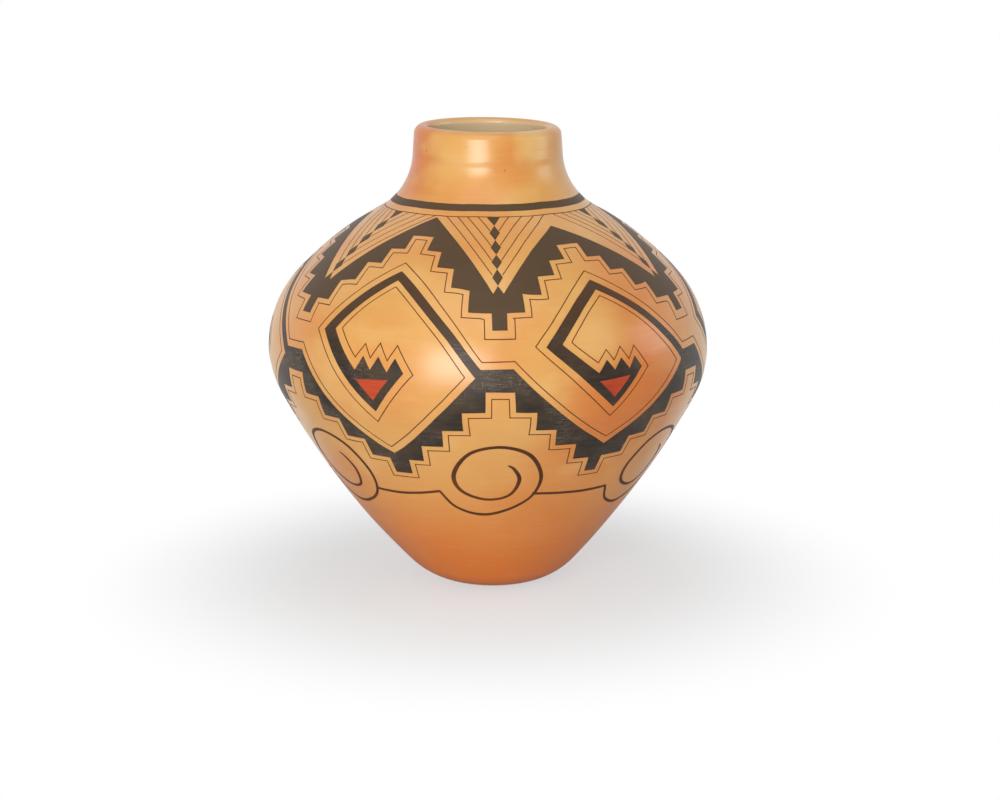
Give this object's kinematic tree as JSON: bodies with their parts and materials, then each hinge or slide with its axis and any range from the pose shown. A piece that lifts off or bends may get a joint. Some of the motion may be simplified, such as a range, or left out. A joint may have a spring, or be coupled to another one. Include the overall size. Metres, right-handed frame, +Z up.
{
  "type": "pueblo pottery jar",
  "caption": "Round-bellied coil-built clay jar with a narrow foot, broad shoulder, short neck and rolled lip, open at the mouth and hollow inside.",
  "frame": {"origin": "centre of the flat underside, on the surface that the jar stands on", "axes": "+Z up along the jar's axis of turning; -Y towards the viewer of the picture; +X to the viewer's right"},
  "size_m": [0.3136, 0.3136, 0.3303],
  "materials": {
    "burnished_clay": "stone-burnished clay, satin, golden tan with orange clouds",
    "black_paint": "fired black-brown mineral paint, streaked, satin",
    "red_paint": "fired brick-red clay slip, satin"
  },
  "bodies": {
    "root": {"base_pat": "burnished_clay", "flank_coil_1": "burnished_clay", "flank_coil_2": "burnished_clay", "flank_coil_3": "burnished_clay", "flank_coil_4": "burnished_clay", "belly_coil_1": "burnished_clay", "belly_coil_2": "burnished_clay", "belly_coil_3": "burnished_clay", "shoulder_coil_1": "burnished_clay", "shoulder_coil_2": "burnished_clay", "throat_coil": "burnished_clay", "neck_coil": "burnished_clay", "rim_coil": "burnished_clay"}
  },
  "joints": []
}
